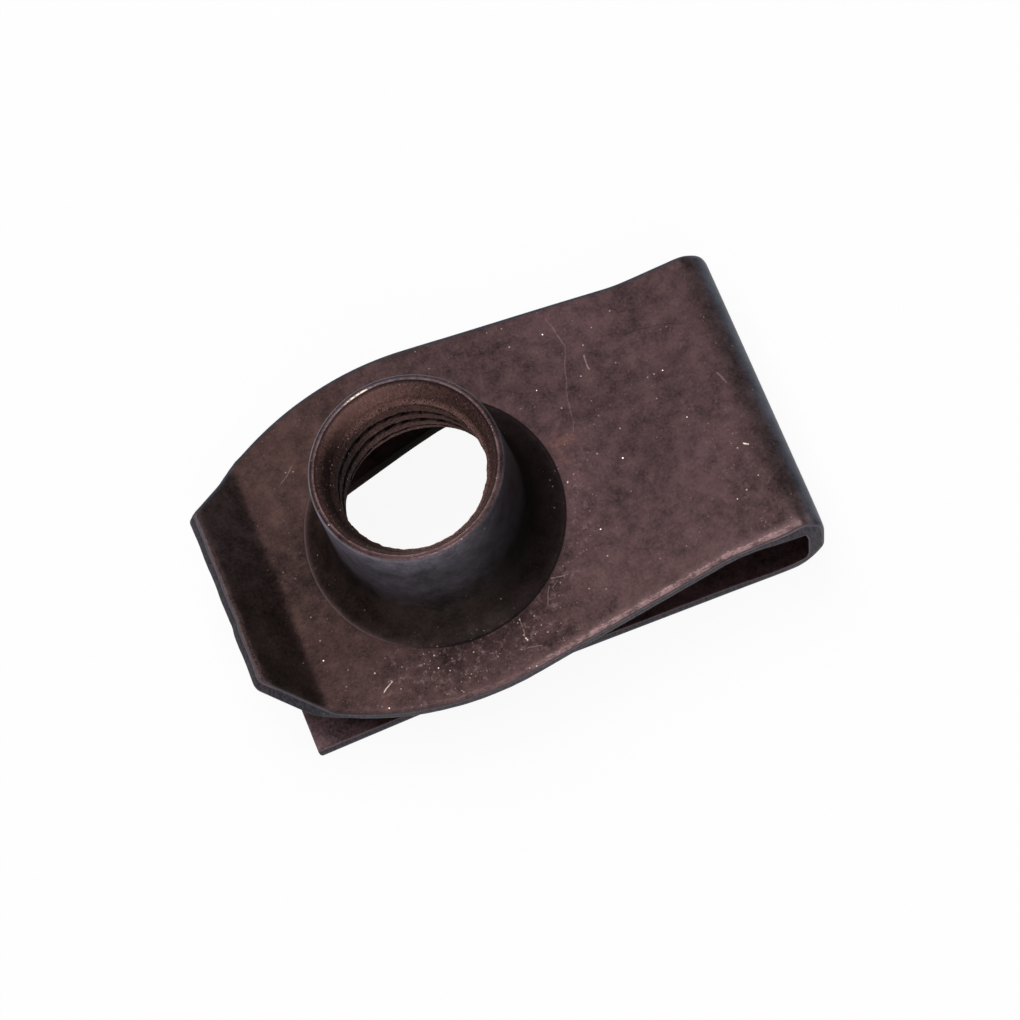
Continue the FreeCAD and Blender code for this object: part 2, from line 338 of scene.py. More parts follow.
def strip_outline():
    """The flat strip's outline: path length and distance from the middle line."""
    centre = np.array([HEAD_CENTRE, HEAD_HALF - HEAD_ROUND])
    start_y = centre[1] + math.sqrt(HEAD_ROUND**2 - (X0 - centre[0]) ** 2)
    bend_run = (TIP_BEND_RADIUS + SHEET / 2) * math.radians(TIP_ANGLE)
    slope = (start_y - TIP_END_HALF) / (bend_run + TIP_RUN)
    bend_start = (TIP_RUN, start_y - slope * bend_run)
    tip_corner = rounded_corner((0.0, 0.0), np.array([0.0, TIP_END_HALF]), bend_start, TIP_CORNER, 0.07)
    tip = line_points((0.0, 0.0), tip_corner[0], OUTLINE_STEP) + tip_corner
    tip += line_points(tip_corner[-1], bend_start, OUTLINE_STEP)
    tip += line_points(bend_start, (TIP_ARC, start_y), BEND_STEP)
    shoulder = np.array([SHOULDER_AT, STRIP])
    reach = shoulder - centre
    touch = math.atan2(reach[1], reach[0]) + math.acos(HEAD_ROUND / np.linalg.norm(reach))
    begin = math.atan2(start_y - centre[1], X0 - centre[0])
    head = arc_points(centre, HEAD_ROUND, begin, touch, OUTLINE_STEP)
    bend = rounded_corner(head[-1], shoulder, (FOLD_AT, STRIP), SHOULDER_ROUND, OUTLINE_STEP)
    head += line_points(head[-1], bend[0], OUTLINE_STEP) + bend
    head = [(float(s_of_upper(x)), y) for x, y in head]
    fold = line_points(head[-1], (UPPER_RUN, STRIP), OUTLINE_STEP)
    fold += line_points((UPPER_RUN, STRIP), (LOW_ARC, STRIP), BEND_STEP)
    lower_corner = np.array([END_S, LOWER_END_HALF])
    end_corner = rounded_corner((LOW_ARC, STRIP), lower_corner, (END_S, 0.0), LOWER_CORNER, 0.05)
    lower = line_points((LOW_ARC, STRIP), end_corner[0], OUTLINE_STEP) + end_corner
    lower += line_points(end_corner[-1], (END_S, 0.0), OUTLINE_STEP)
    far = join(tip, head, fold, lower)
    near = [(s, -y) for s, y in reversed(far[1:-1])]
    loop = np.array(far + near)
    # The tip was cut in two strokes, so its end has a small jog and isn't quite straight
    end = np.clip(1 - loop[:, 0] / 1.2, 0, 1)
    jog = TIP_JOG * hump(loop[:, 1], TIP_JOG_AT, 0.22) + 0.03 * np.sin(loop[:, 1] * 1.3) ** 2
    jog += 0.035 * ramp(loop[:, 1], -1.6, -1.35) * ramp(loop[:, 1], 4.5, 1.0)
    loop[:, 0] += jog * end
    # The far cut runs on smoothly from the head
    loop[:, 1] += 0.13 * hump(loop[:, 0], TIP_RUN + 0.1, 0.55) * (loop[:, 1] > 0)
    return loop


def hole_outline():
    """The clearance hole's outline: path length and distance from the middle line."""
    (bx, br), (sx, sr) = HOLE_BIG, HOLE_SMALL
    lean = math.asin((br - sr) / (bx - sx))
    big = arc_points((bx, 0.0), br, math.pi / 2 + lean, -math.pi / 2 - lean, HOLE_STEP)
    small = arc_points((sx, 0.0), sr, -math.pi / 2 - lean, -3 * math.pi / 2 + lean, HOLE_STEP)
    sides = [line_points(big[-1], small[0], HOLE_STEP), line_points(small[-1], big[0], HOLE_STEP)]
    loop = np.array(join(big, sides[0], small, sides[1])[:-1])
    return np.column_stack([s_of_lower(loop[:, 0]), loop[:, 1]])


def signed_area(loop):
    x, y = loop[:, 0], loop[:, 1]
    return 0.5 * np.sum(x * np.roll(y, -1) - y * np.roll(x, -1))


def inset(loop, distance, into):
    """The loop moved into the metal; tight corners move less, so that their points stay apart."""
    before, after = np.roll(loop, 1, axis=0), np.roll(loop, -1, axis=0)
    way = after - before
    way /= np.linalg.norm(way, axis=1)[:, None]
    normal = np.column_stack([-way[:, 1], way[:, 0]]) * (1 if signed_area(loop) > 0 else -1) * into
    a, b = loop - before, after - loop
    la, lb = np.linalg.norm(a, axis=1), np.linalg.norm(b, axis=1)
    turn = np.abs(np.arctan2(a[:, 0] * b[:, 1] - a[:, 1] * b[:, 0], np.sum(a * b, axis=1)))
    radius = 0.5 * (la + lb) / np.maximum(turn, 1e-4)
    share = np.minimum(distance, 0.75 * radius)
    for _ in range(30):
        share = np.minimum(share, np.roll(share, 1) + 0.6 * la)
        share = np.minimum(share, np.roll(share, -1) + 0.6 * lb)
    return loop + normal * share[:, None]


class Shell:
    """Collects the points, faces and masks of the clip's one closed skin."""

    def __init__(self):
        self.points, self.faces = [], []
        self.masks = {"edge": [], "shear": [], "bore": [], "crease": [], "wall": [], "groove": []}
        self.count = 0

    def add(self, points, **masks):
        """Adds points with their masks, and returns their numbers."""
        first = self.count
        self.points.append(points)
        self.count += len(points)
        for name, rows in self.masks.items():
            value = np.asarray(masks.get(name, 0.0), float)
            rows.append(np.broadcast_to(value, len(points)).copy())
        return np.arange(first, first + len(points))

    def bands(self, loops):
        """Quads between each two closed loops of equal length."""
        for a, b in zip(loops, loops[1:]):
            for i in range(len(a)):
                j = (i + 1) % len(a)
                self.faces.append((a[i], a[j], b[j], b[i]))


def points_in(loop, p):
    """Which of the points lie inside the closed loop."""
    inside = np.zeros(len(p), bool)
    x0, y0 = loop[:, 0], loop[:, 1]
    x1, y1 = np.roll(x0, -1), np.roll(y0, -1)
    for a, b, c, d in zip(x0, y0, x1, y1):
        if b == d:
            continue
        crosses = (b > p[:, 1]) != (d > p[:, 1])
        at = a + (p[:, 1] - b) * (c - a) / (d - b)
        inside ^= crosses & (p[:, 0] < at)
    return inside


def gap_to(points, border):
    """Each point's distance to the border's nearest point."""
    gap = np.full(len(points), 9.0)
    for chunk in np.array_split(border, 40):
        apart = np.sqrt(((points[:, None, :] - chunk[None, :, :]) ** 2).sum(axis=2))
        gap = np.minimum(gap, apart.min(axis=1))
    return gap


def even_net(low, high, spacing):
    """Points in staggered rows over a rectangle."""
    rows = []
    y = low[1] + spacing / 2
    while y < high[1]:
        x = np.arange(low[0] + spacing * (0.25 + 0.5 * (len(rows) % 2)), high[0], spacing)
        rows.append(np.column_stack([x, np.full(len(x), y)]))
        y += spacing * 0.866
    return np.vstack(rows)


def fill(shell, outer, holes, depth, spacing, glow_width):
    """Fills one face of the strip between its edge and its holes, given as loops with their numbers."""
    loop, ids = outer
    net = even_net(loop.min(axis=0), loop.max(axis=0), spacing)
    keep = points_in(loop, net)
    for hole, _ in holes:
        keep &= ~points_in(hole, net)
    net = net[keep]
    borders = np.vstack([loop] + [hole for hole, _ in holes])
    net = net[gap_to(net, borders) > spacing * 0.55]
    glow = 0.5 * np.exp(-gap_to(net, loop) / glow_width)
    net_ids = shell.add(place(net[:, 0], net[:, 1], depth), edge=glow)
    flat = [Vector(p) for p in borders] + [Vector(p) for p in net]
    ids = np.concatenate([ids] + [hole_ids for _, hole_ids in holes] + [net_ids])
    edges, first = [], 0
    for n in [len(loop)] + [len(hole) for hole, _ in holes]:
        edges += [(first + i, first + (i + 1) % n) for i in range(n)]
        first += n
    corners, _, triangles, sources = delaunay_2d_cdt(flat, edges, [], 0, 1e-7)[:4]
    assert len(corners) == len(flat), (len(corners), len(flat))
    triangles = np.array(triangles)
    centres = np.array([[v.x, v.y] for v in corners])[triangles].mean(axis=1)
    source = np.array([s[0] for s in sources])
    good = points_in(loop, centres)
    for hole, _ in holes:
        good &= ~points_in(hole, centres)
    for t in triangles[good]:
        shell.faces.append(tuple(int(ids[source[v]]) for v in t))


def edge_section(roll_width, roll_depth):
    """Rows of (distance in, depth, edge mask, shear mask) from the outer to the inner face."""
    rows = []
    for degrees in (0, 14, 28, 42, 56, 70, 82, 90):
        phi = math.radians(degrees)
        at = (roll_width * (1 - math.sin(phi)), roll_depth * (1 - math.cos(phi)))
        rows.append((*at, min(1, 0.5 + degrees / 120), float(ramp(degrees, 45, 80))))
    for depth in (0.22, 0.29, 0.36, 0.43, 0.5, 0.57, 0.64, 0.7):
        torn = 0.0 if depth < 0.4 else 0.05 * (depth - 0.4) / 0.3
        rows.append((torn, depth, 0.3, 1.0))
    rows += [(0.05, 0.745, 0.6, 0.9), (0.055, 0.775, 0.8, 0.6), (0.07, 0.79, 0.8, 0.3)]
    rows += [(0.09, SHEET, 0.6, 0.0), (0.16, SHEET, 0.3, 0.0)]
    return rows


def sheared_edge(shell, loop, into, roll, burr, bright, seed):
    """The sheet's edge: rolled over on the outer face, sheared bright, then torn to a small burr.

    Returns the loops with their numbers where the outer and the inner face begin."""
    ids, loops = [], []
    for d, depth, edge, shear in edge_section(*roll):
        moved = inset(loop, d, into)
        p = place(moved[:, 0], moved[:, 1], depth)
        if 0.2 < depth < 0.78:
            rough = 0.003 + 0.008 * (depth > 0.42)
            rough = rough * value_noise(p * (1, 1, 0.3), 0.35, seed)
            moved = moved + (inset(loop, 0.1, into) - loop) * (rough / 0.1 + 0.05)[:, None]
        # The tip's near cut leans outward
        lean = TIP_LEAN * np.clip(depth / SHEET, 0, 1) * ramp(-loop[:, 1], 4.6, 5.3)
        lean = lean * ramp(loop[:, 0], TIP_ARC + 0.6, TIP_RUN - 0.6) * (into > 0)
        moved[:, 1] -= lean
        p = place(moved[:, 0], moved[:, 1], depth)
        if depth > 0.77:
            stands = burr * (0.6 + 0.4 * value_noise(p, 0.6, seed + 1)) * (d < 0.12)
            p = place(moved[:, 0], moved[:, 1], depth + stands)
        # Painted shade: the hole's edge lies in the dark between the legs, so it is marked to be painted
        # dark
        in_shade = 1.2 * (into < 0) * (depth > 0.05)
        loops.append(moved)
        ids.append(shell.add(p, edge=edge * bright, shear=shear * bright, crease=in_shade))
    shell.bands(ids)
    return (loops[0], ids[0]), (loops[-1], ids[-1])


# Angles about the barrel's axis
theta = np.arange(AROUND) * 2 * math.pi / AROUND
cos_t, sin_t = np.cos(theta), np.sin(theta)


def ring(shell, radius, z, centre=(0.0, 0.0), **masks):
    r = np.broadcast_to(radius, AROUND)
    h = np.broadcast_to(z, AROUND)
    return shell.add(np.column_stack([r * cos_t + centre[0], r * sin_t + centre[1], h]), **masks)


def flat_ring(radius):
    """A circle about the barrel's axis, as path length and distance from the middle line."""
    return np.column_stack([s_of_upper(radius * cos_t), radius * sin_t])


def crest_radius(z):
    """The thread's crest: the bore widens a little downward."""
    return min(BORE_RADIUS, CREST_RADIUS + CREST_TAPER * max(0.0, 7.0 - z))


def thread(z, profile):
    """The bore's radius with its right-hand thread, which runs out into the mouth and the flare."""
    phase = np.mod((z - THREAD_DATUM) / PITCH - (theta - math.pi / 2) / (2 * math.pi), 1.0)
    rise = np.clip((np.abs(phase - 0.5) - GROOVE_FLAT) / GROOVE_FLANK, 0, 1)
    crest = crest_radius(z)
    cut = crest + (ROOT_RADIUS - crest) * (1 - rise)
    at = np.column_stack([cos_t * 4.2, sin_t * 4.2, np.full(AROUND, z)])
    lumps = 0.5 * value_noise(at, 0.28, 5) + 0.35 * value_noise(at, 0.12, 6)
    top = 1 - ramp(z - 0.25 * (theta - 1.0) / math.pi, 6.55, 6.95)
    deep = np.maximum(profile, crest + (cut - crest) * top)
    # Painted shade: the root and its flanks are marked to be painted dark
    dark = ramp(phase, 0.25, 0.32) * (1 - ramp(phase, 0.7, 0.75)) * top * ramp(deep - profile, -0.02, 0.02)
    return deep + lumps * (0.004 + THREAD_ROUGHNESS * top), dark


def barrel_section():
    """Rows of (radius, height, masks) from the upper leg's top face over the rim and into the mouth."""
    rows = [(r, 0.0, {}) for r in (PLATE_NET, 7.36, 7.24, 7.14, 7.07, 7.03)]
    # Painted shade: the crease at the flare's foot is marked to be painted dark
    rows += [(7.0, 0.008, {"crease": 0.8}), (6.975, CREASE_LIFT, {"crease": 1.2})]
    rows.append((FLARE_BASE, CREASE_LIFT, {"crease": 1.2}))
    neck = RIM_RADIUS + (BARREL_HEIGHT - FLARE_RADIUS) * math.tan(BARREL_DRAFT)
    foot = math.acos(1 - (FLARE_BASE - neck) / FLARE_RADIUS)
    centre = (FLARE_BASE + FLARE_RADIUS * math.cos(foot), FLARE_RADIUS * math.sin(foot))
    for a in np.linspace(foot - 0.012, -BARREL_DRAFT, 34):
        at = (centre[0] - FLARE_RADIUS * math.cos(a), centre[1] - FLARE_RADIUS * math.sin(a))
        rows.append((*at, {"crease": 0.7 * math.exp(-(foot - a) / 0.045)}))
    low = rows[-1][1]
    for k in np.linspace(0, 1, 22)[1:]:
        z = low + (WALL_TOP_AT - low) * k
        rows.append((RIM_RADIUS + (BARREL_HEIGHT - z) * math.tan(BARREL_DRAFT), z, {}))
    for a in np.radians((12, 24, 36, 48, 60, 72, 84)):
        at = (RIM_ROUND_AT[0] + RIM_ROUND * math.cos(a), RIM_ROUND_AT[1] + RIM_ROUND * math.sin(a))
        rows.append((*at, {"edge": 1.0 if a < 0.5 else 0.8}))
    rim = [(4.85, 8.398), (4.81, BARREL_HEIGHT), (4.77, 8.396), (4.745, 8.375), (4.725, 8.33)]
    rim += [(4.705, 8.27), MOUTH_TOP]
    for k in np.linspace(0, 1, 13)[1:]:
        r = MOUTH_TOP[0] + (MOUTH_FOOT[0] - MOUTH_TOP[0]) * k - MOUTH_BULGE * math.sin(math.pi * k)
        rim.append((r, MOUTH_TOP[1] + (MOUTH_FOOT[1] - MOUTH_TOP[1]) * k))
    # Painted shade: the line just inside the rim is marked to be painted dark
    for r, z in rim:
        masks = {"edge": 0.8 if z > 8.2 else 0.2, "bore": float(ramp(8.35 - z, 0, 0.1))}
        rows.append((r, z, {**masks, "crease": 0.7 * float(8.2 < z < 8.38)}))
    return rows


def rim_marks(radius, z):
    """The rim's small faults: the thread's notch, a burr and uneven height."""
    around = np.column_stack([cos_t * 4.6, sin_t * 4.6, np.full(AROUND, z)])
    degrees = np.degrees(theta)
    top = ramp(z, 7.7, 8.2)
    notch = hump(degrees, 51, 2.2)
    burr = hump(degrees, 113, 4.0) + 0.4 * hump(degrees, 97, 3)
    inner = hump(radius, 4.66, 0.12)
    h = z - 0.10 * notch * inner * top + 0.05 * burr * inner * top
    h += 0.008 * value_noise(around, 0.5, 3) * top
    return radius + 0.010 * value_noise(around + (0, 0, 9), 0.45, 4) * inner, h


def add_barrel(shell):
    """Adds the barrel, and returns its first and last ring and the range of the thread's faces."""
    outside = []
    for r, z, masks in barrel_section():
        masks = {"wall": (0.75 + 0.25 * float(ramp(z, 0.1, 1.6))) * float(5.0 < r < 6.94), **masks}
        at = rim_marks(r, z) if z > 7.6 and r < 5.08 else (r, z)
        outside.append(ring(shell, *at, **masks))
    rough = []
    for z in np.arange(THREAD_TOP, THREAD_FOOT, -THREAD_STEP):
        profile = crest_radius(z)
        profile += (MOUTH_FOOT[0] - profile) * float(ramp(z, 6.8, 7.3))
        if z < INNER_FLARE_CENTRE:
            profile += INNER_FLARE - math.sqrt(INNER_FLARE**2 - (z - INNER_FLARE_CENTRE) ** 2)
            profile += (BORE_RADIUS - crest_radius(z)) * float(ramp(z, INNER_FLARE_CENTRE, 1.4))
        radius, groove = thread(z, profile)
        # The thread was formed a little askew: its lower end stands off toward the fold and the far side
        askew = float(ramp(7.2 - z, 0, 5.0) * ramp(z, THREAD_FOOT, 2.0))
        centre = (THREAD_ASKEW[0] * askew, THREAD_ASKEW[1] * askew)
        rough.append(ring(shell, radius, z, centre, bore=1.0, groove=groove))
    under = []
    for a in np.linspace(math.asin((INNER_FLARE_CENTRE - 0.93) / INNER_FLARE), FLARE_TURN, 34):
        at = (BORE_RADIUS + INNER_FLARE * (1 - math.cos(a)), INNER_FLARE_CENTRE - INNER_FLARE * math.sin(a))
        under.append(ring(shell, *at, bore=1 - float(ramp(a, 0.6, 1.1))))
    for r in (INNER_FOOT + 0.04, INNER_FOOT + 0.12, INNER_FOOT + 0.25, UNDER_NET):
        under.append(ring(shell, r, -SHEET))
    shell.bands(outside + rough[:1])
    first = len(shell.faces)
    shell.bands(rough)
    last = len(shell.faces)
    shell.bands(rough[-1:] + under)
    return outside[0], under[-1], (first, last)


def lay_down(p):
    """The points on the ground: turned so that the fold and the lower leg's end touch down, and moved
    to the frame's place."""
    low = (np.degrees(PATH_H) < -150) & (PATH_S < GRIP_RUN)
    a, b = PATH_P[low], PATH_P[-1]
    slope = np.arctan2(a[:, 1] - b[1], a[:, 0] - b[0]).min()
    c, s = math.cos(slope), math.sin(slope)
    skin = np.column_stack([PATH_P[:, 0] * c + PATH_P[:, 1] * s, -PATH_P[:, 0] * s + PATH_P[:, 1] * c])
    shift_x = cad_high.x / MM - skin[:, 0].max()
    shift_z = cad_low.z / MM - skin[:, 1].min()
    x = p[:, 0] * c + p[:, 2] * s + shift_x
    z = -p[:, 0] * s + p[:, 2] * c + shift_z
    return np.column_stack([x, p[:, 1], z])


def wear_and_light_masks(p):
    """How much the edges are worn and painted with a highlight, how thick the specks lie, and where the
    fold is painted bluish as a reflection.
    """
    x, y, z = p.T
    radius = np.hypot(x, y)
    # Wear and painted highlight: along the near edges of the upper face, where the rolled edge catches the
    # light, and along the tip's end
    top = ramp(z, -0.9, -0.1)
    near = ramp(-y, 4.5, 8.0)
    along = 0.15 + 0.25 * ramp(x, -5.0, -1.0) + 0.6 * ramp(x, 1.0, 4.0)
    wear_and_sheen = top * near * along * ramp(x, 17.9, 17.3) * ramp(x, -9.4, -8.6)
    wear_and_sheen = np.maximum(wear_and_sheen, (0.45 + 0.6 * ramp(-y, 2.0, 5.0)) * ramp(-x, 10.9, 11.2) * (z > 0.4))
    # The rim is rubbed on its inner edge at the far side and on its outer edge at the near side, partly as
    # painted highlight; on the far inner edge the mask passes 1, where a glint is painted
    far_side = hump(np.degrees(np.arctan2(y, x)), 101, 10)
    rim_inner = hump(radius, 4.79, 0.06) * (0.45 + 2.2 * far_side)
    rim_outer = hump(radius, 5.01, 0.05) * (0.1 + 0.9 * ramp(-y, 1.0, 4.0))
    wear_and_sheen = np.where((radius < 5.3) & (z > 7.0), 0.1 + rim_inner + rim_outer, wear_and_sheen)
    wear_and_sheen = np.where(z < -1.0, 0.12, wear_and_sheen)
    rub = 0.4 + 0.5 * near * ramp(8.0 - np.abs(x + 1), 0, 4)
    rub += 0.65 * hump(radius, 7.8, 0.8) * ramp(-y + 0.6 * x, 1.0, 6.0)
    rub += 0.25 * ramp(x, 13.0, 16.0) * ramp(-y, -2.0, 4.0)
    rub = np.where(z > 0.8, 0.12, rub) * ramp(z, -1.2, -0.3)
    rub = np.where((radius < 5.2) & (z > 7.4), 0.8, rub)
    return {"wear_and_sheen": wear_and_sheen, "rub": rub, "fold_reflection_mask": 0.95 * ramp(x, 17.7, 18.4)}


def build_clip():
    """The clip's one closed skin, with its masks as attributes."""
    shell = Shell()
    outer, inner = sheared_edge(shell, strip_outline(), 1, (0.34, 0.12), 0.02, 1.0, 11)
    hole_outer, hole_inner = sheared_edge(shell, hole_outline(), -1, (0.2, 0.09), 0.01, 0.12, 23)
    top_ring, under_ring, thread_faces = add_barrel(shell)
    fill(shell, outer, [(flat_ring(PLATE_NET), top_ring), hole_outer], 0.0, TOP_SPACING, 0.6)
    fill(shell, inner, [(flat_ring(UNDER_NET), under_ring), hole_inner], SHEET, UNDER_SPACING, 0.2)

    points = np.vstack(shell.points)
    # The pressed sheet isn't quite flat
    sway = 0.02 * value_noise(points, 5.0, 41) + 0.006 * value_noise(points, 1.6, 42)
    settle = ramp(np.hypot(points[:, 0], points[:, 1]), 7.0, 9.0)
    upper_leg = (points[:, 0] < 16) & (points[:, 2] < 3) & (points[:, 2] > -1.2)
    points[:, 2] += sway * settle * upper_leg
    mesh = bpy.data.meshes.new("clip_body")
    mesh.from_pydata([tuple(p) for p in lay_down(points) * MM], [], shell.faces)
    masks = {name: np.concatenate(rows) for name, rows in shell.masks.items()}
    for name, values in {**masks, **wear_and_light_masks(points)}.items():
        mesh.attributes.new(name, "FLOAT", "POINT").data.foreach_set("value", values.astype(np.float32))
    layer = mesh.attributes.new("plate", "FLOAT_VECTOR", "POINT")
    layer.data.foreach_set("vector", points.astype(np.float32).ravel())
    bm = bmesh.new()
    bm.from_mesh(mesh)
    bmesh.ops.recalc_face_normals(bm, faces=bm.faces)
    bm.to_mesh(mesh)
    bm.free()
    # The formed thread is rough, so its facets stay flat
    smooth = np.ones(len(mesh.polygons), bool)
    smooth[slice(*thread_faces)] = False
    mesh.polygons.foreach_set("use_smooth", smooth)
    body = bpy.data.objects.new("clip_body", mesh)
    bpy.context.scene.collection.objects.link(body)
    return body


clip = build_clip()
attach(clip, "root")
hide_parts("clip")


# Shader nodes
class Nodes:
    """A small maker of shader nodes: its methods return output sockets."""

    def __init__(self, name):
        self.material = bpy.data.materials.new(name)
        self.material.use_nodes = True
        self.tree = self.material.node_tree
        for n in list(self.tree.nodes):
            self.tree.nodes.remove(n)

    def new(self, kind, inputs=(), **settings):
        """The new node itself, with its inputs and settings filled in."""
        n = self.tree.nodes.new(kind)
        for key, value in settings.items():
            setattr(n, key, value)
        for key, value in dict(inputs).items():
            self.feed(n.inputs[key], value)
        return n

    def feed(self, socket, value):
        if isinstance(value, bpy.types.NodeSocket):
            self.tree.links.new(value, socket)
        else:
            socket.default_value = value

    def finish(self, surface):
        """The material with this surface."""
        out = self.new("ShaderNodeOutputMaterial")
        self.tree.links.new(surface, out.inputs[0])
        return self.material

    def math(self, operation, a, b=0.0, c=0.0, clamp=False):
        n = self.new("ShaderNodeMath", {0: a, 1: b, 2: c}, operation=operation, use_clamp=clamp)
        return n.outputs[0]

    def vector(self, operation, a, b=(0, 0, 0), scale=1.0):
        n = self.new("ShaderNodeVectorMath", {0: a, 1: b, 3: scale}, operation=operation)
        return n.outputs["Value"] if operation in ("LENGTH", "DOT_PRODUCT", "DISTANCE") else n.outputs[0]

    def step(self, value, low, high, out_low=0.0, out_high=1.0):
        """A smooth step from out_low at low to out_high at high."""
        ends = {"From Min": low, "From Max": high, "To Min": out_low, "To Max": out_high}
        n = self.new("ShaderNodeMapRange", {"Value": value, **ends}, interpolation_type="SMOOTHSTEP")
        return n.outputs[0]

    def noise(self, at, size, detail=2.0, roughness=0.5, stretch=(1, 1, 1), offset=0.0):
        """Noise of about this feature size, in millimetres, from 0 to 1."""
        scale = tuple(1 / (size * k) for k in stretch)
        place_it = {"Vector": at, "Scale": scale, "Location": (offset, offset, 0)}
        moved = self.new("ShaderNodeMapping", place_it)
        look = {"Vector": moved.outputs[0], "Scale": 1.0, "Detail": detail, "Roughness": roughness}
        return self.new("ShaderNodeTexNoise", look).outputs[0]

    def mix(self, share, a, b, kind="MIX"):
        """Two colours mixed by this share of the second."""
        n = self.new("ShaderNodeMix", data_type="RGBA", blend_type=kind)
        self.feed(n.inputs[0], share)
        self.feed(n.inputs[6], a if isinstance(a, bpy.types.NodeSocket) else (*a, 1))
        self.feed(n.inputs[7], b if isinstance(b, bpy.types.NodeSocket) else (*b, 1))
        return n.outputs[2]

    def shaded(self, colour, value):
        """The colour times this value."""
        grey = self.new("ShaderNodeCombineColor", {0: value, 1: value, 2: value})
        return self.mix(1.0, colour, grey.outputs[0], "MULTIPLY")

    def attribute(self, name, output="Fac"):
        return self.new("ShaderNodeAttribute", attribute_name=name).outputs[output]

    def add(self, *values):
        total = values[0]
        for v in values[1:]:
            total = self.math("ADD", total, v)
        return total

    def times(self, *values):
        total = values[0]
        for v in values[1:]:
            total = self.math("MULTIPLY", total, v)
        return total

    def near(self, at, spot, far, close, most=1.0):
        """How near a spot of the upper face is: 0 at the distance far, most at the distance close."""
        return self.step(self.vector("DISTANCE", at, (*spot, 0)), far, close, 0.0, most)

    def specks(self, at, size, radius, share):
        """Tiny round specks in some of the cells of this size, and a random value for each."""
        moved = self.vector("SCALE", at, scale=1 / size)
        n = self.new("ShaderNodeTexVoronoi", {"Vector": moved, "Scale": 1.0, "Randomness": 1.0})
        dot = self.step(n.outputs["Distance"], radius / size, 0.4 * radius / size)
        chance = self.new("ShaderNodeSeparateColor", {0: n.outputs["Color"]})
        return self.times(dot, self.math("LESS_THAN", chance.outputs[0], share)), chance.outputs[1]

    def scratch(self, at, line):
        """A scratch between two places of the upper face."""
        x0, y0, x1, y1, width, strength = line
        start, along = Vector((x0, y0, 0)), Vector((x1 - x0, y1 - y0, 0))
        rel = self.vector("SUBTRACT", at, tuple(start))
        reach = self.vector("DOT_PRODUCT", rel, tuple(along))
        share = self.math("MULTIPLY", reach, 1 / along.length_squared, clamp=True)
        foot = self.vector("SCALE", tuple(along), scale=share)
        far = self.vector("DISTANCE", rel, foot)
        return self.math("MULTIPLY", self.step(far, width, width * 0.3), strength)


# Scratches as the photograph shows them: from x, y to x, y on the upper face, width and strength
SCRATCHES = [
    (9.61, 8.19, 9.94, 6.27, 0.045, 0.07),
    (9.94, 6.27, 9.1, 3.91, 0.045, 0.06),
    (9.1, 3.91, 8.62, 1.65, 0.045, 0.05),
    (10.61, 5.33, 10.62, 4.51, 0.07, 0.16),
    (13.04, 5.51, 13.93, 5.44, 0.04, -0.7),
    (13.93, 5.44, 14.81, 5.34, 0.04, -0.7),
    (14.81, 5.34, 16.1, 4.82, 0.04, -0.6),
    (16.75, 1.51, 16.94, 0.73, 0.08, 0.1),
    (16.45, -2.83, 16.67, -2.93, 0.05, 0.8),
    (4.46, -5.52, 5.19, -5.69, 0.03, 0.3),
    (4.68, -5.82, 4.31, -6.09, 0.03, 0.25),
    (4.21, -5.87, 3.76, -6.9, 0.03, 0.2),
    (2.02, -8.54, 2.65, -8.67, 0.03, 0.2),
    (2.15, -6.85, 2.02, -7.9, 0.04, 0.22),
    (-5.86, -7.66, -5.27, -7.3, 0.045, 0.7),
    (-6.82, 5.43, -5.78, 6.19, 0.04, 0.12),
]
# The brightest single specks, painted near white as glints: x, y, radius and strength
SPECKS = [
    (9.09, 7.39, 0.06, 1.0),
    (7.64, 4.57, 0.05, 0.9),
    (14.15, 2.77, 0.055, 0.9),
    (14.33, -0.22, 0.05, 0.8),
    (10.39, -0.9, 0.075, 1.0),
    (7.85, -4.09, 0.06, 1.0),
    (15.01, -5.57, 0.05, 0.9),
    (-8.15, -4.71, 0.06, 1.0),
    (-2.73, -7.62, 0.06, 1.0),
    (-0.73, -7.58, 0.055, 0.9),
    (-5.89, -8.59, 0.06, 1.0),
    (2.12, -6.94, 0.06, 0.9),
]

# Spots of the upper face: painted shade beside the barrel, a lighter spot and a rusty spot
BARREL_SHADE_SPOT = (-7.8, 1.0)
LIGHT_SPOT = (-5.4, 7.2)
RUST_SPOT = (7.7, 1.2)

# Colours of the phosphate
BROWN_PATCH = (0.085, 0.050, 0.036)
HEAD_BROWN = (0.057, 0.030, 0.027)
PLATE_PURPLE = (0.074, 0.040, 0.043)
# Painted reflection on the near part of the upper face
NEAR_REFLECTION = (0.104, 0.057, 0.057)
TIP_FAR = (0.075, 0.049, 0.050)
# Painted shade on the lip's near side
TIP_NEAR_SHADE = (0.043, 0.030, 0.027)
# Painted reflection on the fold's outer face
FOLD_REFLECTION = (0.054, 0.062, 0.088)
# Painted highlight where the upper face turns into the fold
FOLD_HIGHLIGHT = (0.17, 0.115, 0.115)
# Painted light: the lower leg, shaded by the head, is painted much lighter
LOWER_LEG_PAINTED_LIGHT = (0.5, 0.31, 0.34)
RUST = (0.19, 0.07, 0.035)

# Colours of the barrel
# Painted shade in the flare's hollow
FLARE_SHADE = (0.033, 0.021, 0.0175)
WALL_BLUE = (0.078, 0.070, 0.086)
# Painted reflection on the wall's upper band
WALL_TOP_REFLECTION = (0.14, 0.124, 0.155)
# Painted reflection on the rim's outer round
RIM_REFLECTION = (0.32, 0.29, 0.35)
BORE_DARK = (0.045, 0.022, 0.018)
BORE_BRIGHT = (0.6, 0.325, 0.285)
# Painted shade in the thread's root
GROOVE_SHADE = (0.006, 0.004, 0.004)
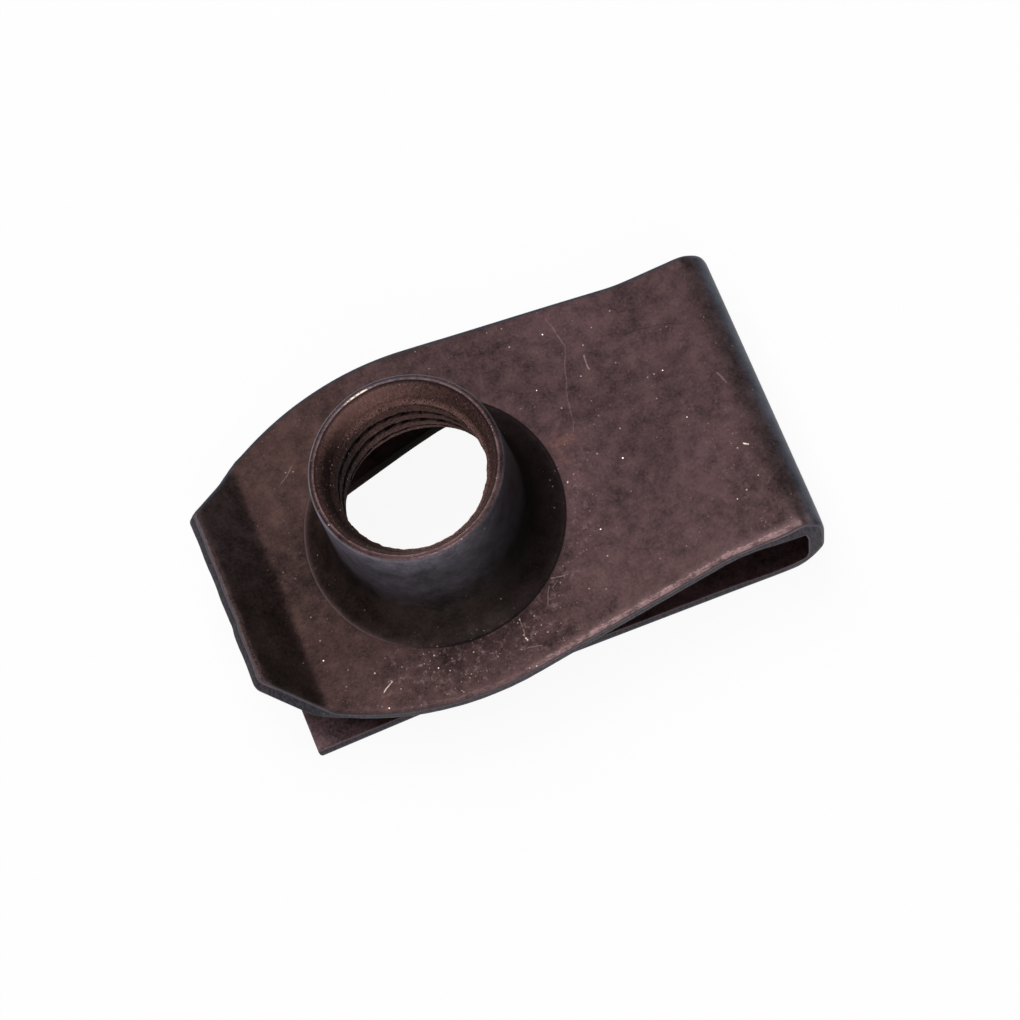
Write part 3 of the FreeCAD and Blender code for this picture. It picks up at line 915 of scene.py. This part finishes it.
# Painted shade in creases and the hole's edge, and dark scratches
SHADE_AND_SCRATCH_DARK = (0.012, 0.008, 0.008)

# Colours of sheared, rubbed and bare metal, and of the painted sheen and glints
SHEAR_LOW = (0.030, 0.026, 0.033)
SHEAR_HIGH = (0.085, 0.076, 0.095)
BURR = (0.22, 0.20, 0.23)
EDGE_BLUE = (0.085, 0.095, 0.13)
# Bare metal, also used for the painted sheen on the edges and a painted light line in the crease
BARE_AND_SHEEN = (0.42, 0.265, 0.265)
# Painted glint colour of bare specks, bright scratches and the rim's glint
BARE_GLINT = (0.98, 0.80, 0.70)


class Steel(Nodes):
    """The clip's shader nodes, with the places, masks and noises that its layers share."""

    def __init__(self, name):
        super().__init__(name)
        self.at = self.attribute("plate", "Vector")
        self.edge = self.attribute("edge")
        self.shear = self.attribute("shear")
        self.bore = self.attribute("bore")
        self.crease = self.attribute("crease")
        self.wall = self.attribute("wall")
        self.groove = self.attribute("groove")
        self.wear_and_sheen = self.attribute("wear_and_sheen")
        self.rub = self.attribute("rub")
        self.x, self.y, self.z = self.new("ShaderNodeSeparateXYZ", {0: self.at}).outputs
        level = self.step(self.math("ABSOLUTE", self.z), 0.12, 0.05)
        self.flat = self.times(level, self.step(self.x, 18.2, 17.8))
        self.cloud = self.noise(self.at, 5.0, 3.0, 0.6)
        self.patch = self.noise(self.at, 0.9, 3.0, 0.65)
        self.grain = self.noise(self.at, 0.16, 2.0, 0.6)


def phosphate(g):
    """Purple brown toward the fold, browner and darker round the head. The near part is painted pinker as a
    reflection, the lip darker as shade, most on its near side, the fold's bend lighter as a highlight, and
    the lower leg lighter to make up for its shade."""
    base = g.mix(g.step(g.add(g.x, g.times(g.cloud, 6.0)), -4.0, 9.0), HEAD_BROWN, PLATE_PURPLE)
    # Painted reflection: the near part of the upper face is painted pinker and lighter
    near_sheen = g.times(g.step(g.y, -1.5, -8.5), g.step(g.x, -10, -1), g.step(g.x, 14.0, 4.0, 0.42, 0.85))
    base = g.mix(near_sheen, base, NEAR_REFLECTION)
    # Painted shade: the lip, leaning away from the light, is painted darker on its near side
    lip = g.times(g.step(g.x, -8.7, -9.3), g.step(g.z, -2.0, -1.0), 0.8)
    base = g.mix(lip, base, g.mix(g.step(g.y, -3.0, 4.0), TIP_NEAR_SHADE, TIP_FAR))
    # Painted highlight on the start of the fold's bend
    bend = g.times(g.step(g.x, 16.9, 17.6), g.step(g.x, 18.25, 17.9), g.step(g.z, -1.8, -0.6), 0.5)
    base = g.mix(bend, base, FOLD_HIGHLIGHT)
    # Painted light: the lower leg is painted lighter to make up for its shade
    leg = g.times(g.step(g.x, -6.0, -9.0), g.step(g.z, -3.0, -3.6))
    return g.mix(g.times(leg, 0.8), base, LOWER_LEG_PAINTED_LIGHT)


def bluish_walls(g, base):
    """The barrel's wall is darker and bluish, partly its own drawn surface and partly painted light: a
    bluish reflection toward its top, and painted shade in its flare and toward the fold. The fold's outer
    face is painted bluish as a reflection."""
    wall_shading = g.mix(g.step(g.z, 1.0, 5.0), FLARE_SHADE, WALL_BLUE)
    wall_shading = g.mix(g.step(g.z, 6.0, 8.0), wall_shading, WALL_TOP_REFLECTION)
    toward_fold = g.add(g.x, g.times(g.y, 0.25))
    # Painted light and shade: lighter on the tip side, darker toward the fold
    side = g.step(toward_fold, -4.5, 3.5, 1.35, g.step(g.z, 0.8, 4.0, 0.2, 0.42))
    wall_shading = g.shaded(wall_shading, side)
    base = g.mix(g.wall, base, wall_shading)
    # Painted reflection: the fold's outer face is painted bluish
    return g.mix(g.attribute("fold_reflection_mask"), base, FOLD_REFLECTION)


def mottling(g, base):
    """Lighter and darker clouds and grain, brown patches, a rusty spot, painted shade beside the barrel and
    a lighter spot.
    """
    tone = g.add(-1.5, g.times(g.cloud, 1.6), g.times(g.patch, 2.0), g.times(g.grain, 1.4))
    # Painted shade beside the barrel
    tone = g.math("SUBTRACT", tone, g.near(g.at, BARREL_SHADE_SPOT, 3.4, 0.8, 0.34))
    tone = g.math("ADD", tone, g.near(g.at, LIGHT_SPOT, 3.2, 0.8, 0.32))
    tone = g.math("MAXIMUM", tone, 0.3)
    base = g.shaded(base, tone)
    base = g.mix(g.times(g.step(g.patch, 0.5, 0.75), g.flat, 0.25), base, BROWN_PATCH)
    rust = g.times(g.near(g.at, RUST_SPOT, 1.4, 0.2), g.step(g.patch, 0.45, 0.7), 0.35)
    return g.mix(rust, base, RUST)


def edges(g, base):
    """The bluish far edge, a painted reflection as a light line on the rim's outer round toward the tip,
    and the
    sheared edges: bare, bluish grey, with fine lines down the thickness."""
    base = g.mix(g.times(g.step(g.edge, 0.6, 0.95), g.step(g.y, 2.0, 6.0), 0.7), base, EDGE_BLUE)
    # Painted reflection on the rim's outer round, toward the tip
    rim = g.times(g.step(g.edge, 0.92, 1.0), g.step(g.z, 8.0, 8.2), g.step(g.wall, 0.5, 1.0))
    toward_tip = g.step(g.add(g.x, g.times(g.y, 0.3)), 5.0, -4.0, 0.1, 0.8)
    base = g.mix(g.times(rim, toward_tip, g.step(g.y, -4.6, -2.0)), base, RIM_REFLECTION)
    lines = g.noise(g.at, 0.14, 2.0, 0.6, stretch=(1, 1, 7))
    sheared = g.mix(g.step(lines, 0.3, 0.7), SHEAR_LOW, SHEAR_HIGH)
    sheared = g.mix(g.step(g.edge, 0.45, 0.8, 0.0, 0.6), sheared, BURR)
    return g.mix(g.shear, base, sheared)


def barrel_inside(g, base):
    """The relieved mouth and the thread's crests are rubbed to a coppery shine, lighter on the mouth's far
    side;
    the mouth's tip side and the deeper bore are painted darker as shade. Returns the colour and where the
    thread is."""
    streak = g.noise(g.at, 0.1, 2.0, 0.7, stretch=(1, 1, 12))
    speckle = g.noise(g.at, 0.07, 1.0, 0.5)
    crest = g.step(g.z, 7.25, 6.9)
    shine = g.add(g.times(streak, 0.7), g.times(speckle, g.add(0.35, g.times(crest, 0.9))))
    shine = g.add(shine, g.times(crest, -0.22), -0.2)
    far_mouth = g.times(g.step(g.z, 7.0, 7.4), g.step(g.y, 0.5, 3.5), g.step(g.x, 4.5, -1.0, 0.0, 0.35))
    shine = g.add(shine, g.times(far_mouth, g.step(g.x, -4.6, -2.2)))
    inside = g.mix(g.step(shine, 0.1, 0.95), BORE_DARK, BORE_BRIGHT)
    # Painted shade on the mouth's tip side and deeper in the bore
    tip_side = g.times(g.step(g.x, -0.6, -3.9), g.step(g.z, 8.2, 7.5), -0.85)
    shade = g.add(1.0, tip_side, g.step(g.z, 7.3, 6.6, 0.0, -0.3))
    shade = g.math("MAXIMUM", shade, 0.2)
    inside = g.shaded(inside, shade)
    # Painted shade: the thread's root is painted near black
    inside = g.mix(g.groove, inside, GROOVE_SHADE)
    return g.mix(g.bore, base, inside), crest


def edge_wear_and_sheen(g, strands):
    """Rubbed metal along the exposed edges, with a painted highlight as a soft sheen and in broken lines,
    and scuffs between.
    """
    broken = g.noise(g.at, 0.8, 2.0, 0.6, offset=9.0)
    reach = g.times(g.step(g.edge, 0.22, 0.6), g.step(g.edge, 1.01, 0.93))
    line = g.step(g.add(g.times(reach, 0.55), strands, g.times(broken, 0.5)), 1.14, 1.4, 0.0, 0.75)
    glow = g.times(reach, g.add(g.times(broken, 0.35), g.step(g.x, 14.0, 16.5, 0.0, 0.2)))
    wear_sheen = g.times(g.math("MAXIMUM", line, glow), g.wear_and_sheen)
    scuff = g.noise(g.at, 0.55, 5.0, 0.85, offset=2.0)
    return g.math("MAXIMUM", wear_sheen, g.times(g.step(scuff, 0.5, 0.72), g.rub, g.rub, g.flat, 0.45))


def scratches(g):
    """The scratches, which wander a little, and the brightest specks. A dark scratch is negative."""
    sway = g.new("ShaderNodeTexNoise", {"Vector": g.at, "Scale": 1.0, "Detail": 1.0}).outputs["Color"]
    sway = g.vector("SCALE", g.vector("SUBTRACT", sway, (0.5, 0.5, 0.5)), scale=0.3)
    bent = g.vector("ADD", g.at, g.vector("MULTIPLY", sway, (1, 1, 0)))
    light = g.scratch(bent, SCRATCHES[0])
    for line in SCRATCHES[1:]:
        light = g.math("ADD", light, g.scratch(bent, line))
    light = g.times(light, g.flat, g.step(g.grain, 0.2, 0.55))
    for px, py, radius, strength in SPECKS:
        speck = g.near(g.at, (px, py), radius * 0.85, radius * 0.3)
        light = g.math("ADD", light, g.math("MULTIPLY", speck, strength * 1.3))
    return light


def bare_metal(g, base, strands):
    """Wear with painted sheen, specks painted as glints, scratches, a painted glint on the rim, and painted
    shade in the crease and the hole's edge. Returns the colour and where the metal is bare.
    """
    wear_sheen = edge_wear_and_sheen(g, strands)
    # Specks of bare metal, painted near white as glints
    speck_glints, tint = g.specks(g.at, 0.4, 0.06, 0.28)
    speck_glints = g.times(speck_glints, g.step(tint, 0.1, 1.0), g.rub)
    fine, tint = g.specks(g.at, 0.16, 0.045, 0.3)
    fine = g.times(fine, g.step(tint, 0.3, 1.0), g.math("MAXIMUM", g.times(g.rub, g.rub, 0.7), g.bore))
    light = scratches(g)
    # Painted glint on the rim's far inner edge
    light = g.math("ADD", light, g.times(g.step(g.wear_and_sheen, 1.0, 2.0), g.step(strands, 0.35, 0.6), 0.8))
    fine = g.times(fine, g.add(0.7, g.times(g.bore, 0.3)))
    spark = g.math("MAXIMUM", light, g.add(speck_glints, fine), clamp=True)
    base = g.mix(wear_sheen, base, BARE_AND_SHEEN)
    base = g.mix(spark, base, BARE_GLINT)
    bare = g.math("MAXIMUM", wear_sheen, spark, clamp=True)
    dark = g.math("MULTIPLY", light, -1.0, clamp=True)
    # Painted shade and light: the crease round the barrel, the line inside the rim and the hole's edge are
    # painted dark, most toward the fold, and toward the tip the crease is painted as a faint light line
    base = g.mix(g.times(g.crease, g.step(g.x, -1.5, -5.5), g.step(g.z, 0.3, 0.1), 0.3), base, BARE_AND_SHEEN)
    dark = g.math("MAXIMUM", dark, g.times(g.crease, g.step(g.x, -5.5, -0.5, 0.1, 0.75)))
    return g.mix(dark, base, SHADE_AND_SCRATCH_DARK), bare


def clip_material():
    g = Steel("phosphated_steel")
    base = phosphate(g)
    base = bluish_walls(g, base)
    base = mottling(g, base)
    base = edges(g, base)
    base, crest = barrel_inside(g, base)
    strands = g.noise(g.at, 0.09, 3.0, 0.8, stretch=(2.5, 1, 1), offset=4.0)
    base, bare = bare_metal(g, base, strands)
    in_shade = g.times(g.add(g.crease, g.groove), 0.5)
    dull = g.add(g.times(g.wall, 0.4), g.times(g.bore, 0.3), g.times(g.shear, 0.45), in_shade)
    metal = g.math("MAXIMUM", g.math("SUBTRACT", 0.62, dull), bare)
    roughness = g.add(0.4, g.times(g.grain, 0.12), g.times(bare, -0.1), g.times(dull, 0.45))
    roughness = g.add(roughness, g.times(g.wall, -0.2), g.times(g.crease, 0.4))
    roughness = g.add(roughness, g.times(g.bore, crest, 0.25))
    lift = g.add(g.times(g.grain, 0.5), g.times(g.patch, 0.6))
    bump = g.new("ShaderNodeBump", {"Height": lift, "Strength": 0.25, "Distance": 0.00003})
    look = {"Base Color": base, "Metallic": metal, "Roughness": roughness, "Normal": bump.outputs[0]}
    shader = g.new("ShaderNodeBsdfPrincipled", {**look, "Specular IOR Level": 0.2})
    return g.finish(shader.outputs[0])


clip.data.materials.append(clip_material())


# Floor
FLOOR_HALF = 0.6


def floor_material():
    """White: softly lit for the object, and nearly even for the camera and for reflections."""
    g = Nodes("floor_white")
    rays = g.new("ShaderNodeLightPath").outputs
    mirrored = g.math("MAXIMUM", rays["Is Glossy Ray"], rays["Is Transmission Ray"])
    seen = g.math("MAXIMUM", rays["Is Camera Ray"], mirrored)
    lit = g.new("ShaderNodeBsdfDiffuse", {"Color": (0.9, 0.9, 0.9, 1)})
    white = g.new("ShaderNodeEmission", {"Color": (1, 1, 1, 1), "Strength": 1.05})
    share = g.math("MULTIPLY", seen, 0.88)
    mixed = g.new("ShaderNodeMixShader", {0: share, 1: lit.outputs[0], 2: white.outputs[0]})
    return g.finish(mixed.outputs[0])


def add_floor():
    mesh = bpy.data.meshes.new("floor")
    corners = [(-1, -1), (1, -1), (1, 1), (-1, 1)]
    mesh.from_pydata([(x * FLOOR_HALF, y * FLOOR_HALF, 0) for x, y in corners], [], [(0, 1, 2, 3)])
    mesh.materials.append(floor_material())
    body = bpy.data.objects.new("floor", mesh)
    bpy.context.scene.collection.objects.link(body)
    return body


floor = add_floor()


# Light
def softbox(name, place_at, aim, size, power, colour):
    data = bpy.data.lights.new(name, "AREA")
    data.shape = "RECTANGLE"
    data.size, data.size_y = size
    data.energy = power
    data.color = colour
    lamp = bpy.data.objects.new(name, data)
    lamp.location = place_at
    lamp.rotation_euler = (Vector(aim) - Vector(place_at)).to_track_quat("-Z", "Y").to_euler()
    bpy.context.scene.collection.objects.link(lamp)


softbox("key", (-0.01, 0.27, 0.42), (0, 0, 0.005), (0.34, 0.3), 0.72, (1.0, 0.985, 0.97))
softbox("overhead", (-0.05, 0.0, 0.5), (0, 0, 0), (0.4, 0.4), 0.7, (1, 1, 1))
softbox("front", (-0.03, -0.36, 0.4), (0, 0, 0), (0.3, 0.25), 0.5, (1, 1, 1))

world = bpy.data.worlds.new("surroundings")
bpy.context.scene.world = world
world.use_nodes = True
world.node_tree.nodes["Background"].inputs[0].default_value = (0.05, 0.054, 0.062, 1)


# Camera, where the photograph was taken from
CAMERA_AT = (-0.005283, -0.099196, 0.247696)
CAMERA_RIGHT = (0.924343, -0.360959, -0.123688)
CAMERA_UP = (0.380917, 0.854106, 0.354126)
LENS = 176.4706


def add_camera():
    data = bpy.data.cameras.new("camera")
    data.sensor_width = 36.0
    data.lens = LENS
    data.clip_start = 0.01
    camera = bpy.data.objects.new("camera", data)
    bpy.context.scene.collection.objects.link(camera)
    right = Vector(CAMERA_RIGHT)
    back = right.cross(Vector(CAMERA_UP)).normalized()
    up = back.cross(right).normalized()
    turn = Matrix((right.normalized(), up, back)).transposed().to_4x4()
    camera.matrix_world = Matrix.Translation(CAMERA_AT) @ turn
    bpy.context.scene.camera = camera


add_camera()
bpy.context.scene.view_settings.view_transform = "Standard"
